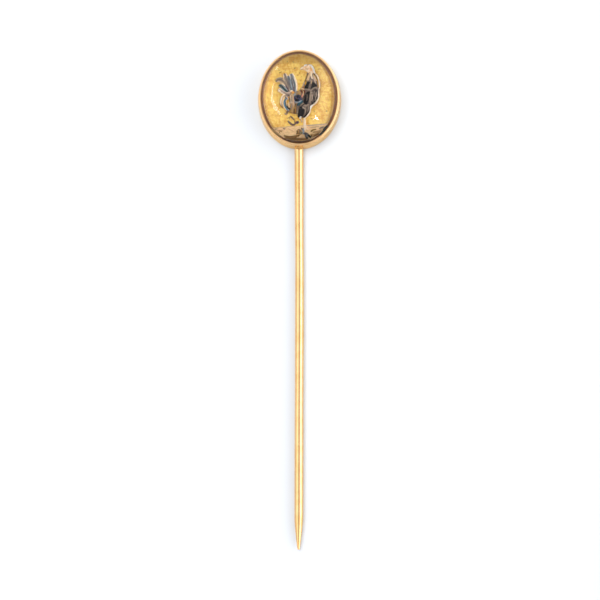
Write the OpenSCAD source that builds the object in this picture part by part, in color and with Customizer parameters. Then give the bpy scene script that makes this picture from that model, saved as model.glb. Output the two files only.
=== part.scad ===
// Stick pin: an oval gold collet with a closed back holds a domed rock crystal. A gamecock on a strip
// of ground is carved into the crystal's flat back and painted, and a golden plate lies behind it.
// A plain round pin is soldered to the collet's wall and runs straight to a tapered point.
// The pin lies on its back. The origin is the middle of its footprint, on the surface that it lies on.
// +Y runs from the point to the head, and +Z is out of the crystal's dome.

/* [Collet] */
// Width of the oval collet at its back
head_w = 11.7; // [9:0.1:16]
// Length of the oval collet at its back, along the pin
head_l = 13.9; // [11:0.1:19]
// Height of the collet, from its back to the top of its lip
collet_h = 3.1; // [2.6:0.05:4]
// How much narrower the collet is at its shoulder than at its back, on each side
flare = 0.2; // [0:0.01:0.4]
// Thickness of the closed back
back_t = 0.45; // [0.3:0.05:0.8]
// Chamfer round the edge of the back
back_edge = 0.12; // [0.05:0.01:0.25]
// Width of the step where the thin lip stands on the wall
shoulder_w = 0.07; // [0:0.01:0.15]
// Height of the thin lip above that step
lip_h = 0.3; // [0.2:0.05:0.5]
// Thickness of the lip at its top
lip_t = 0.26; // [0.15:0.01:0.4]
// How far the lip reaches up over the foot of the crystal's dome
lip_grip = 0.15; // [0.1:0.05:0.3]

/* [Crystal] */
// Height of the crystal's dome above its upright edge
dome_h = 2.7; // [2:0.05:4.5]
// How far the middle of the dome's egg shape lies below that edge, which sets how sharply they meet
dome_sink = 1.7; // [0.5:0.05:1.9]
// Refractive index of the crystal, whose dome shows the carving larger than it is
crystal_n = 1.54; // [1.45:0.01:1.6]
// Depth of the carving under the body, the deepest but for the wing
carve_d = 0.6; // [0.3:0.05:0.9]
// Thickness of the golden plate behind the crystal
plate_t = 0.4; // [0.2:0.05:0.8]
// Gap between one piece and the next
fit_gap = 0.03; // [0.02:0.01:0.05]

/* [Pin] */
// Diameter of the pin's wire
pin_d = 1.2; // [0.9:0.05:1.6]
// Length of the pin, from the edge of the collet's back to its tip
pin_l = 56.1; // [40:0.1:80]
// Length of the tapered point
point_l = 4.9; // [3:0.1:9]
// Radius of the tip, before the taper swells to the wire
tip_r = 0.16; // [0.08:0.01:0.3]
// Height of the pin's underside above the collet's flat back
pin_lift = 0.02; // [0:0.01:0.1]

/* [Solder] */
// Width of the solder that joins the pin to the collet's wall
solder_w = 1.6; // [1.5:0.05:2.4]
// How high the solder runs up the wall above the pin's middle
solder_h = 1.5; // [0.8:0.05:2]
// How far the solder stands off the wall
solder_t = 0.2; // [0.1:0.02:0.6]

/* [Hidden] */
$fn = 96;
eps = 0.01;

// Half sizes of the ovals, as [across, along].
back_o = [head_w, head_l] / 2;
shoulder_k = 1 - flare / back_o.x;
edge_k = 1 - back_edge / back_o.x;
lip_o = back_o * shoulder_k - [shoulder_w, shoulder_w];
opening_o = lip_o - [lip_t, lip_t];

// The dome is the top of an egg shape. Its shares of width are those at the edge and at the lip's top.
dome_half = dome_sink + dome_h;
edge_share = sqrt(1 - pow(dome_sink / dome_half, 2));
lip_share = sqrt(1 - pow((dome_sink + lip_grip) / dome_half, 2));
crystal_o = (opening_o - [fit_gap, fit_gap]) * edge_share / lip_share;

// Heights of the stack, from the flat back up.
shoulder_z = collet_h - lip_h;
plate_z = back_t + fit_gap;
crystal_z = plate_z + plate_t + fit_gap;
dome_z = collet_h - lip_grip;

// The places of the head and of the pin along its length.
head_y = pin_l / 2;
wall_y = head_y - back_o.y;
tip_y = wall_y - pin_l;
pin_r = pin_d / 2;
pin_z = pin_r + pin_lift;
pin_root = 0.3;
point_swell = 0.78;

// The carving is drawn as it is seen through the dome, in hundredths of the opening's half length.
// The dome is a thick lens, and what lies behind it is smaller by its power at the top.
grid = opening_o.y / 100;
power = (dome_z - crystal_z + dome_h) * (1 - 1 / crystal_n) * dome_half * pow(edge_share, 2);
lens = [1 / (1 - power / pow(crystal_o.x, 2)), 1 / (1 - power / pow(crystal_o.y, 2))];
ground_edge = 0.3;

// Depth of each painted zone, as a share of carve_d.
HEAD_DEPTH = 0.85;
BODY_DEPTH = 1;
WING_DEPTH = 1.2;
SADDLE_DEPTH = 0.75;
TAIL_DEPTH = 0.6;
LEG_DEPTH = 0.5;
GROUND_DEPTH = 0.35;

// Outlines of the painted zones, as [across, up] on the drawing's grid. All run clockwise.
HEAD = [[3, 62], [9, 68], [15, 73], [22, 75], [30, 70], [34, 57], [31, 51], [22, 53], [17, 58], [9, 62]];
BODY = [
    [19, 56], [27, 50], [36, 54], [43, 40], [46, 24], [45, 8], [41, -5], [32, -14], [27, -20],
    [24, -31], [18, -39], [11, -45], [6, -40], [1, -42], [-2, -32], [-2, -19], [0, 0], [-1, 18],
    [8, 27], [14, 41]
];
WING = [[-10, 6], [-3, 9], [5, 8], [10, 0], [8, -10], [1, -17], [-5, -11], [-11, -3]];
SADDLE = [
    [-15, 15], [-7, 14], [2, 18], [4, 4], [0, -18], [-3, -33], [-13, -34], [-22, -31], [-24, -18],
    [-19, -2]
];
HORIZON = [[-120, -69], [-16, -64], [12, -60], [120, -54], [120, -120], [-120, -120]];

// Tail feathers and the bones of the feet: root, tip, half width and sideways bow, on the same grid.
ROOT_X = 0;
ROOT_Y = 1;
TIP_X = 2;
TIP_Y = 3;
HALF_W = 4;
BOW = 5;
TAIL = [
    [-13, 4, -18, 55, 6.5, 2],
    [-16, 4, -32, 54, 5.5, 3],
    [-14, 3, -52, 36, 4.5, -11],
    [-12, 2, -46, 28, 5, -6],
    [-10, 3, -47, 19, 5, -1],
    [-14, 8, -38, -25, 4.5, -12],
    [-10, 8, -24, -31, 5, -15]
];
LEG = [
    [10, -34, 10, -75, 2.5, 0],
    [14, -66, -8, -80, 3.5, 3],
    [14, -64, -6, -71, 3, 1],
    [7, -67, 29, -82, 4, -2]
];
FOOT = [
    [-21, -39, -8, -53, 2.5, 1],
    [-25, -50, -11, -59, 2.5, -2],
    [-17, -58, -1, -52, 3.5, 0]
];

// Closed curve through the points p, with n steps from each to the next.
function closed_curve(p, n = 4) = [
    for (i = [0 : len(p) - 1], k = [0 : n - 1])
        let (
            t = k / n,
            a = p[(i + len(p) - 1) % len(p)],
            b = p[i],
            c = p[(i + 1) % len(p)],
            d = p[(i + 2) % len(p)]
        )
        b + t * (c - a) / 2 + t * t * (2 * a - 5 * b + 4 * c - d) / 2
            + t * t * t * (3 * b - a - 3 * c + d) / 2
];

// Outline of a feather, from a table's row: narrow at its root, widest past its middle, round at its tip.
function feather(row, n = 9) =
    let (
        a = [row[ROOT_X], row[ROOT_Y]],
        b = [row[TIP_X], row[TIP_Y]],
        along = b - a,
        aside = [-along.y, along.x] / norm(along)
    )
    [
        for (side = [1, -1], i = [0 : n - 1])
            let (
                t = sin(90 * (side == 1 ? i / n : 1 - i / n)),
                w = row[HALF_W] * (0.4 + 0.6 * sin(130 * t)) * sqrt(1 - pow(t, 5))
            )
            a + along * t + aside * (row[BOW] * 4 * t * (1 - t) + side * w)
    ];

// A closed clockwise outline whose edges are all moved outward by d.
function grown(p, d) = [
    for (i = [0 : len(p) - 1])
        let (
            before = p[i] - p[(i + len(p) - 1) % len(p)],
            after = p[(i + 1) % len(p)] - p[i],
            n1 = [-before.y, before.x] / norm(before),
            n2 = [-after.y, after.x] / norm(after)
        )
        p[i] + d * (n1 + n2) / max(0.6, 1 + n1 * n2)
];

// An outline on the drawing's grid, at its real place behind the dome.
function behind_dome(p) = [for (q = p) [q.x * grid / lens.x, q.y * grid / lens.y]];

// An upright oval disc, tapered from the oval at its foot to k times it at its top.
module oval(o, h, k = 1) {
    scale([o.x, o.y, 1]) cylinder(r1 = 1, r2 = k, h = h);
}

// The crystal's form, uncarved, standing on foot_z, with its sides and dome larger by gap.
module cabochon(foot_z, gap = 0) {
    o = crystal_o + [gap, gap];
    egg = [o.x / edge_share, o.y / edge_share, dome_half + gap];
    intersection() {
        translate([0, 0, foot_z]) oval(o, dome_z + 2 * dome_h - foot_z);
        translate([0, 0, dome_z - dome_sink]) scale(egg) sphere(r = 1);
    }
}

module collet() {
    difference() {
        union() {
            oval(back_o * edge_k, back_edge, 1 / edge_k);
            translate([0, 0, back_edge]) oval(back_o, shoulder_z - back_edge, shoulder_k);
            translate([0, 0, shoulder_z - eps]) oval(lip_o, lip_h + eps);
        }
        cabochon(back_t, fit_gap);
    }
}

// Half outline of the pin from its tip: a swelling taper, then straight wire.
module pin_outline(n = 10) {
    polygon(concat(
        [[0, 0]],
        [
            for (i = [0 : n])
                let (t = i / n)
                pow(1 - t, 2) * [tip_r, tip_r / 2] + 2 * t * (1 - t) * [pin_r, point_swell * point_l]
                    + t * t * [pin_r, point_l]
        ],
        [[pin_r, pin_l + pin_root], [0, pin_l + pin_root]]
    ));
}

module pin_wire() {
    translate([0, tip_y, pin_z]) rotate([-90, 0, 0]) rotate_extrude() pin_outline();
}

module solder() {
    intersection() {
        translate([0, wall_y, pin_z]) scale([solder_w / 2, solder_t, solder_h]) sphere(r = 1);
        translate([-solder_w, wall_y - 2 * solder_t, 0]) cube([2 * solder_w, 3 * solder_t, shoulder_z]);
    }
}

module collet_and_pin() {
    color("#e8b872") union() {
        translate([0, head_y, 0]) collet();
        pin_wire();
        solder();
    }
}

module head_2d(grow = 0) polygon(grown(behind_dome(closed_curve(HEAD)), grow));
module body_2d(grow = 0) polygon(grown(behind_dome(closed_curve(BODY)), grow));
module wing_2d(grow = 0) polygon(grown(behind_dome(closed_curve(WING)), grow));
module saddle_2d(grow = 0) polygon(grown(behind_dome(closed_curve(SADDLE)), grow));
module feathers_2d(table, grow = 0) {
    for (row = table) polygon(grown(behind_dome(feather(row)), grow));
}
module ground_2d(grow = 0) {
    o = crystal_o - [ground_edge - grow, ground_edge - grow];
    intersection() {
        scale([o.x, o.y]) circle(r = 1);
        polygon(grown(behind_dome(HORIZON), grow));
    }
}

// A painted zone or the pocket for it, at the crystal's back, as deep as its share of carve_d.
module zone(share, grow = 0) {
    translate([0, head_y, crystal_z - (grow > 0 ? eps : 0)])
        linear_extrude(share * carve_d + grow + (grow > 0 ? eps : 0)) children();
}

module painted_head() {
    color("#f2cda4") zone(HEAD_DEPTH) head_2d();
}

module painted_body() {
    color("#3a3236") zone(BODY_DEPTH) difference() {
        body_2d();
        head_2d(fit_gap);
        wing_2d(fit_gap);
    }
}

module painted_wing() {
    color("#3f4763") zone(WING_DEPTH) wing_2d();
}

module painted_saddle() {
    color("#a8875a") zone(SADDLE_DEPTH) difference() {
        saddle_2d();
        body_2d(fit_gap);
        wing_2d(fit_gap);
    }
}

module painted_tail() {
    color("#6f8293") zone(TAIL_DEPTH) difference() {
        feathers_2d(TAIL);
        saddle_2d(fit_gap);
        body_2d(fit_gap);
    }
}

module painted_leg() {
    color("#e9c39a") zone(LEG_DEPTH) difference() {
        feathers_2d(LEG);
        body_2d(fit_gap);
    }
}

module painted_foot() {
    color("#7d6a6c") zone(LEG_DEPTH) feathers_2d(FOOT);
}

module painted_ground() {
    color("#c2a077") zone(GROUND_DEPTH) difference() {
        ground_2d();
        feathers_2d(LEG, fit_gap);
    }
}

module backing_plate() {
    color("#e3b04e") translate([0, head_y, plate_z]) oval(crystal_o, plate_t);
}

module crystal() {
    color("#fff4d8", 0.35) difference() {
        translate([0, head_y, 0]) cabochon(crystal_z);
        zone(HEAD_DEPTH, fit_gap) head_2d(fit_gap);
        zone(BODY_DEPTH, fit_gap) body_2d(fit_gap);
        zone(WING_DEPTH, fit_gap) wing_2d(fit_gap);
        zone(SADDLE_DEPTH, fit_gap) saddle_2d(fit_gap);
        zone(TAIL_DEPTH, fit_gap) feathers_2d(TAIL, fit_gap);
        zone(LEG_DEPTH, fit_gap) feathers_2d(LEG, fit_gap);
        zone(LEG_DEPTH, fit_gap) feathers_2d(FOOT, fit_gap);
        zone(GROUND_DEPTH, fit_gap) ground_2d(fit_gap);
    }
}

collet_and_pin();
crystal();
backing_plate();
painted_head();
painted_body();
painted_wing();
painted_saddle();
painted_tail();
painted_leg();
painted_foot();
painted_ground();
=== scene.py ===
# Stick pin: the fine shapes and the finish of every surface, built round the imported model.
# Lengths are millimetres in the model's frame, as in the part's source, and add_piece makes them metres.
# The picture in the crystal is drawn as it is seen, in hundredths of the opening's half length.
from math import asin, cos, pi, radians, sin, sqrt

import bpy
from mathutils import Matrix, Vector, noise


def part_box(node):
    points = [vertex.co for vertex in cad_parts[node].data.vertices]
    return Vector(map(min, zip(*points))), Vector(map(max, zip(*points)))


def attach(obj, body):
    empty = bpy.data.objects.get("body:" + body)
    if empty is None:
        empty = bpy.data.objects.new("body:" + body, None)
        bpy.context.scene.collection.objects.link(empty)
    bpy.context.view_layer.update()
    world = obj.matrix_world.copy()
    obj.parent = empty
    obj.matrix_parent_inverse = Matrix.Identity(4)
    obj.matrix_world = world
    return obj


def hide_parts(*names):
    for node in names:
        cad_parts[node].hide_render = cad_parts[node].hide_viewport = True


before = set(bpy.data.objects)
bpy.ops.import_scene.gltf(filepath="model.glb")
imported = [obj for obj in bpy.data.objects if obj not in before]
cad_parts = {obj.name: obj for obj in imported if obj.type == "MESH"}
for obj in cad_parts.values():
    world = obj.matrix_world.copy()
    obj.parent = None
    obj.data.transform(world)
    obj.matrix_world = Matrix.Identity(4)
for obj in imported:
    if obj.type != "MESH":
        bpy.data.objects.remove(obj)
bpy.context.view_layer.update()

MM = 0.001

# Sizes of the collet and its lip, as in the part's source.
FLARE = 0.2
BACK_EDGE = 0.12
SHOULDER_W = 0.07
LIP_H = 0.3
LIP_T = 0.26
LIP_GRIP = 0.15
# Finer forms of the collet: the wall's hollow, the shoulder's rounding, the crease beside the lip, the room
# round the crystal under the lip and in the seat, and how uneven the hand work is.
WALL_HOLLOW = 0.03
SHOULDER_ROUND = 0.05
CREASE_OUT = 0.012
CREASE_UP = 0.02
CREASE_DOWN = 0.035
LIP_ROOM = 0.008
SEAT_ROOM = 0.015
COLLET_WOBBLE = 0.012

# Sizes of the crystal.
DOME_SINK = 1.7
CRYSTAL_N = 1.544

# Sizes of the pin and the solder.
PIN_D = 1.2
POINT_L = 4.9
TIP_R = 0.16
PIN_LIFT = 0.02
SOLDER_W = 1.04
SOLDER_H = 1.5
SOLDER_T = 0.26
SOLDER_UP = 0.25
# How far the wire runs into the wall, and how uneven the hand-drawn wire is.
WIRE_IN_WALL = 0.35
WIRE_WOBBLE = 0.006

# The camera looks down on the pin from a little to its right and towards its point.
CAMERA_AT = Vector((8, -8, 300))
CAMERA_AIM = Vector((0.075, -0.1, 0.6))
VIEW_W = 84.09
SENSOR_W = 36

# Half the opening's length in steps of the drawing, and how far the drawing is moved across and along.
OPENING_STEPS = 100.7
DRAWN_AT = Vector((0.4, -0.8))


def node_box(node):
    """A node's lowest and highest corners, in millimetres."""
    low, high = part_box(node)
    return Vector(low) / MM, Vector(high) / MM


metal_low, metal_high = node_box("collet_and_pin")
stone_low, stone_high = node_box("crystal")
plate_low, plate_high = node_box("backing_plate")

# Places and half sizes that follow from the model. Ovals are (across, along).
HEAD_Y = (stone_low.y + stone_high.y) / 2
COLLET_H = metal_high.z
BACK = Vector((metal_high.x, metal_high.y - HEAD_Y))
SHOULDER = BACK * (1 - FLARE / BACK.x)
LIP = SHOULDER - Vector((SHOULDER_W, SHOULDER_W))
OPENING = LIP - Vector((LIP_T, LIP_T))
STONE = Vector((stone_high.x, stone_high.y - HEAD_Y))
STONE_Z = stone_low.z
SHOULDER_Z = COLLET_H - LIP_H
DOME_Z = COLLET_H - LIP_GRIP
EGG_Z = DOME_Z - DOME_SINK
EGG_H = stone_high.z - EGG_Z
EGG = Vector((STONE.x, STONE.y)) / sqrt(1 - (DOME_SINK / EGG_H) ** 2)
PLATE_TOP = plate_high.z
PAINT_Z = STONE_Z
PIN_R = PIN_D / 2
PIN_Z = PIN_R + PIN_LIFT
TIP_Y = metal_low.y
WALL_Y = HEAD_Y - BACK.y
GRID = OPENING.y / OPENING_STEPS


def srgb(red, green, blue):
    """A screen colour, 0 to 255, as Blender's linear colour."""
    def channel(value):
        share = value / 255
        return share / 12.92 if share <= 0.04045 else ((share + 0.055) / 1.055) ** 2.4
    return (channel(red), channel(green), channel(blue), 1)


# Materials

def new_material(name, **sockets):
    """A material whose main shader's sockets are set by name, with _ for a space."""
    material = bpy.data.materials.new(name)
    material.use_nodes = True
    shader = material.node_tree.nodes["Principled BSDF"]
    for socket, value in sockets.items():
        shader.inputs[socket.replace("_", " ")].default_value = value
    return material, material.node_tree, shader


def add_node(tree, kind, settings=None, **values):
    """A node with its settings and unlinked sockets, or links where a value is a socket."""
    node = tree.nodes.new(kind)
    for key, value in (settings or {}).items():
        setattr(node, key, value)
    for socket, value in values.items():
        target = node.inputs[socket.replace("_", " ")]
        if isinstance(value, bpy.types.NodeSocket):
            tree.links.new(value, target)
        else:
            target.default_value = value
    return node


def place(tree, stretch=(1, 1, 1), source="Object"):
    """Coordinates of the surface, in metres or as UV, stretched."""
    coordinates = add_node(tree, "ShaderNodeTexCoord")
    return add_node(
        tree, "ShaderNodeMapping", Vector=coordinates.outputs[source], Scale=stretch
    ).outputs["Vector"]


def cloud(tree, vector, grain, detail=3, roughness=0.55):
    """Soft noise whose lumps are about grain millimetres wide."""
    return add_node(
        tree, "ShaderNodeTexNoise", Vector=vector, Scale=1 / (grain * MM), Detail=detail,
        Roughness=roughness
    ).outputs["Fac"]


def spread(tree, value, low, high, to_low=0, to_high=1):
    """The value's range from low to high, brought smoothly to another range."""
    node = add_node(tree, "ShaderNodeMapRange", {"interpolation_type": "SMOOTHSTEP"})
    tree.links.new(value, node.inputs["Value"])
    for socket, number in zip(("From Min", "From Max", "To Min", "To Max"), (low, high, to_low, to_high)):
        node.inputs[socket].default_value = number
    return node.outputs["Result"]


def blend(tree, factor, first, second):
    """Two colours or sockets mixed by a factor."""
    node = tree.nodes.new("ShaderNodeMix")
    node.data_type = "RGBA"
    for index, value in ((0, factor), (6, first), (7, second)):
        if isinstance(value, bpy.types.NodeSocket):
            tree.links.new(value, node.inputs[index])
        else:
            node.inputs[index].default_value = value
    return node.outputs[2]


def combine(tree, kind, first, second):
    """Two values joined by a maths operation."""
    node = tree.nodes.new("ShaderNodeMath")
    node.operation = kind
    for index, value in enumerate((first, second)):
        if isinstance(value, bpy.types.NodeSocket):
            tree.links.new(value, node.inputs[index])
        else:
            node.inputs[index].default_value = value
    return node.outputs["Value"]


def rough_skin(tree, shader, height, depth):
    """Bumps the surface by the height, up to depth millimetres."""
    bump = add_node(tree, "ShaderNodeBump", Height=height, Strength=1, Distance=depth * MM)
    tree.links.new(bump.outputs["Normal"], shader.inputs["Normal"])


def polished_gold(name, colour, worn, roughness, lines, depth):
    """Gold with fine polishing lines that run along the pin, duller patches and a warmer tone in them."""
    material, tree, shader = new_material(
        name, Metallic=1, Roughness=roughness, Specular_Tint=srgb(250, 224, 186)
    )
    lumps = cloud(tree, place(tree), 1.6)
    tree.links.new(
        blend(tree, spread(tree, lumps, 0.4, 0.7), colour, worn), shader.inputs["Base Color"]
    )
    scratches = cloud(tree, place(tree, (1, 0.04, 1)), lines, detail=4, roughness=0.7)
    patches = cloud(tree, place(tree), 0.5)
    dull = combine(tree, "ADD", spread(tree, scratches, 0.45, 0.75, 0, 0.12), roughness)
    tree.links.new(
        combine(tree, "ADD", dull, spread(tree, patches, 0.45, 0.8, 0, 0.08)), shader.inputs["Roughness"]
    )
    height = combine(tree, "ADD", combine(tree, "MULTIPLY", scratches, 0.5), lumps)
    rough_skin(tree, shader, height, depth)
    return material


def rock_crystal():
    """Clear quartz, polished."""
    material, _, _ = new_material(
        "rock_crystal", Base_Color=(1, 1, 1, 1), Roughness=0, IOR=CRYSTAL_N, Transmission_Weight=1,
        Specular_Tint=(0.36, 0.36, 0.36, 1)
    )
    return material


def oval_reach(tree, coordinates, oval):
    """How far a point is from the middle of an oval, where 1 is on the oval."""
    middle, half = oval
    centred = add_node(
        tree, "ShaderNodeMapping", Vector=coordinates,
        Location=(-middle.x / half.x, -middle.y / half.y, 0),
        Scale=(1 / (half.x * MM), 1 / (half.y * MM), 0)
    ).outputs["Vector"]
    return add_node(tree, "ShaderNodeVectorMath", {"operation": "LENGTH"}, Vector=centred).outputs["Value"]


def gilt_ground():
    """Brushed gilding behind the crystal with specks, and painted shade on it: darker along its rim and
    above a straight edge, and a dark painted shadow ring at its edge.
    """
    bright = srgb(252, 213, 104)
    deep = srgb(230, 167, 56)
    # Colour of the painted shade inside the rim and above the straight edge.
    shade = srgb(190, 130, 34)
    # Colour of the painted shadow ring at the gilding's edge.
    rim_shadow = srgb(142, 80, 30)
    speck = srgb(120, 78, 30)
    material, tree, shader = new_material("gilt_ground", Metallic=0.4, Roughness=0.4)
    coordinates = add_node(tree, "ShaderNodeTexCoord").outputs["Object"]
    lumps = cloud(tree, coordinates, 1.1, detail=4)
    brush = cloud(tree, place(tree, (0.4, 1, 1)), 0.22, detail=4, roughness=0.6)
    hatch = cloud(tree, place(tree, (1, 0.4, 1)), 0.2, detail=4, roughness=0.6)
    grain = combine(tree, "MULTIPLY", combine(tree, "ADD", brush, hatch), 0.5)
    tone = combine(
        tree, "ADD", combine(tree, "MULTIPLY", lumps, 0.3), combine(tree, "MULTIPLY", grain, 0.7)
    )
    gold = blend(tree, spread(tree, tone, 0.43, 0.58), bright, deep)

    # Painted shade: the gilding is darker inside a ring near its rim and above a straight edge.
    wander = combine(tree, "MULTIPLY", combine(tree, "SUBTRACT", lumps, 0.5), 0.05)
    inner = combine(tree, "ADD", oval_reach(tree, coordinates, seen_oval(*INNER_SHADE_RIM)), wander)
    along = add_node(tree, "ShaderNodeSeparateXYZ", Vector=coordinates).outputs["Y"]
    band_y = behind_dome(0, SHADE_EDGE_V, PLATE_TOP).y
    band = spread(tree, along, (band_y - 0.05) * MM, (band_y + 0.05) * MM, 0, BAND_SHADE)
    dark = combine(tree, "MAXIMUM", spread(tree, inner, 0.97, 1.03), band)
    gold = blend(tree, combine(tree, "MULTIPLY", dark, 0.72), gold, shade)
    # Painted shadow: a dark brown ring round the gilding's edge, inside the lip.
    outer = combine(tree, "ADD", oval_reach(tree, coordinates, seen_oval(*OUTER_SHADOW_RIM)), wander)
    gold = blend(tree, spread(tree, outer, 0.975, 1.02), gold, rim_shadow)

    dots = cloud(tree, coordinates, 0.35, detail=2, roughness=0.4)
    gold = blend(tree, spread(tree, dots, 0.7, 0.76, 0, 0.7), gold, speck)
    tree.links.new(gold, shader.inputs["Base Color"])
    rough_skin(tree, shader, grain, 0.03)
    return material


def oil_paint(name, colour, streak, share=0.5):
    """Dry oil colour with brush lines along the stroke, which show a second colour."""
    material, tree, shader = new_material(f"paint_{name}", Roughness=0.55)
    shader.inputs["Specular IOR Level"].default_value = 0.15
    lines = add_node(
        tree, "ShaderNodeTexNoise", Vector=place(tree, (1.4, 9, 1), "UV"), Scale=1, Detail=4,
        Roughness=0.65
    ).outputs["Fac"]
    lumps = cloud(tree, place(tree), 0.22)
    tree.links.new(
        blend(
            tree, spread(tree, lines, 0.42, 0.66, 0, share),
            blend(tree, spread(tree, lumps, 0.35, 0.7), colour, shaded(colour, 0.82)), streak
        ),
        shader.inputs["Base Color"]
    )
    rough_skin(tree, shader, lines, 0.02)
    return material


def shaded(colour, share):
    """A darker colour."""
    return (colour[0] * share, colour[1] * share, colour[2] * share, 1)


# Meshes

def add_piece(name, points, faces, materials, node, face_materials=None, uvs=None, flat=()):
    """A mesh piece that rides on the body and stands in for a node, which it hides."""
    mesh = bpy.data.meshes.new(name)
    mesh.from_pydata([Vector(point) * MM for point in points], [], faces)
    for material in materials:
        mesh.materials.append(material)
    mesh.polygons.foreach_set("use_smooth", [index not in flat for index in range(len(faces))])
    if face_materials:
        mesh.polygons.foreach_set("material_index", face_materials)
    if uvs:
        layer = mesh.uv_layers.new(name="along")
        for loop in mesh.loops:
            layer.data[loop.index].uv = uvs[loop.vertex_index]
    mesh.update()
    piece = bpy.data.objects.new(name, mesh)
    bpy.context.scene.collection.objects.link(piece)
    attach(piece, "root")
    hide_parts(node)
    return piece


def ring_faces(start, rows, count):
    """Quads between rows of closed rings, whose points run anticlockwise seen from above."""
    faces = []
    for row in range(rows - 1):
        for i in range(count):
            j = (i + 1) % count
            low = start + row * count
            high = low + count
            faces.append((low + i, low + j, high + j, high + i))
    return faces


def oval_lathe(profile, count=256, wobble=0):
    """Points and faces of a closed oval solid. Each row of the profile is (across, along, height)."""
    points = []
    for across, along, height in profile:
        for i in range(count):
            angle = 2 * pi * i / count
            point = Vector((across * cos(angle), HEAD_Y + along * sin(angle), height))
            if wobble:
                stir = noise.noise(point * 0.7)
                fine = noise.noise(point * 2.3 + Vector((9, 0, 0)))
                point.xy += wobble * (stir + 0.4 * fine) * Vector((cos(angle), sin(angle)))
            points.append(point)
    faces = ring_faces(0, len(profile), count)
    middle_foot = len(points)
    points.append(Vector((0, HEAD_Y, profile[0][2])))
    points.append(Vector((0, HEAD_Y, profile[-1][2])))
    last = (len(profile) - 1) * count
    for i in range(count):
        j = (i + 1) % count
        faces.append((middle_foot, j, i))
        faces.append((middle_foot + 1, last + i, last + j))
    return points, faces


def arc(radius, start, end, steps=6):
    """Points (out, up) on an arc, with angles in degrees from straight out."""
    angles = [radians(start + (end - start) * i / steps) for i in range(steps + 1)]
    return [(radius * cos(angle), radius * sin(angle)) for angle in angles]


def egg_share(height):
    """How wide the dome's egg shape is at a height, as a share of its widest."""
    return sqrt(max(0, 1 - ((height - EGG_Z) / EGG_H) ** 2))


# Where things seen through the dome really are

def behind_dome(u, v, height):
    """The place at a height inside the crystal of what is seen at (u, v) on the drawing."""
    aim = Vector(((u + DRAWN_AT.x) * GRID, HEAD_Y + (v + DRAWN_AT.y) * GRID, COLLET_H))
    ray = (aim - CAMERA_AT).normalized()
    size = Vector((EGG.x, EGG.y, EGG_H))
    middle = Vector((0, HEAD_Y, EGG_Z))
    start = Vector([(a - b) / c for a, b, c in zip(CAMERA_AT, middle, size)])
    step = Vector([a / b for a, b in zip(ray, size)])
    across = start.dot(step)
    room = across ** 2 - step.length_squared * (start.length_squared - 1)
    reach = (-across - sqrt(max(0, room))) / step.length_squared
    hit = CAMERA_AT + ray * reach
    normal = Vector([(a - b) / c ** 2 for a, b, c in zip(hit, middle, size)]).normalized()
    facing = -normal.dot(ray)
    bent = sqrt(1 - (1 - facing ** 2) / CRYSTAL_N ** 2)
    inside = ray / CRYSTAL_N + normal * (facing / CRYSTAL_N - bent)
    return hit + inside * ((height - hit.z) / inside.z)


def seen_oval(left, right, bottom, top):
    """Middle and half sizes, on the gilt plate, of an oval seen at these shares of the opening."""
    across = OPENING.x / GRID
    along = OPENING.y / GRID
    west = behind_dome(left * across, 0, PLATE_TOP).x
    east = behind_dome(right * across, 0, PLATE_TOP).x
    south = behind_dome(0, bottom * along, PLATE_TOP).y
    north = behind_dome(0, top * along, PLATE_TOP).y
    return Vector((west + east, south + north)) / 2, Vector((east - west, north - south)) / 2


# Height that each layer of paint adds, and how far the foot of all paint lies below the crystal's back.
LAYER_T = 0.004
SUNK = 0.01

# Swellings of the carved bird: middle and half sizes on the drawing, and height in millimetres.
SWELLINGS = [
    (24, 4, 24, 34, 0.36),
    (28, 38, 17, 24, 0.2),
    (20, 64, 20, 16, 0.2),
    (9, -28, 18, 24, 0.22),
    (-3, 0, 14, 15, 0.3),
    (-13, -10, 20, 30, 0.22),
    (-28, 30, 34, 34, 0.16),
    (-34, -8, 16, 26, 0.16)
]


def relief(u, v):
    """Height of the carved bird over the gilt ground at a place on the drawing."""
    height = 0
    for middle_u, middle_v, half_u, half_v, top in SWELLINGS:
        near = 1 - ((u - middle_u) / half_u) ** 2 - ((v - middle_v) / half_v) ** 2
        height += top * max(0, near) ** 1.5
    return height


def curve_through(points, steps, closed=False):
    """Points on a smooth curve through the given ones."""
    count = len(points)
    found = []
    for i in range(count if closed else count - 1):
        a, b, c, d = (
            Vector(points[k % count if closed else min(max(k, 0), count - 1)]) for k in range(i - 1, i + 3)
        )
        for k in range(steps):
            t = k / steps
            found.append(
                b + t * (c - a) / 2 + t * t * (2 * a - 5 * b + 4 * c - d) / 2
                + t * t * t * (3 * b - a - 3 * c + d) / 2
            )
    if not closed:
        found.append(Vector(points[-1]))
    return found


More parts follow.
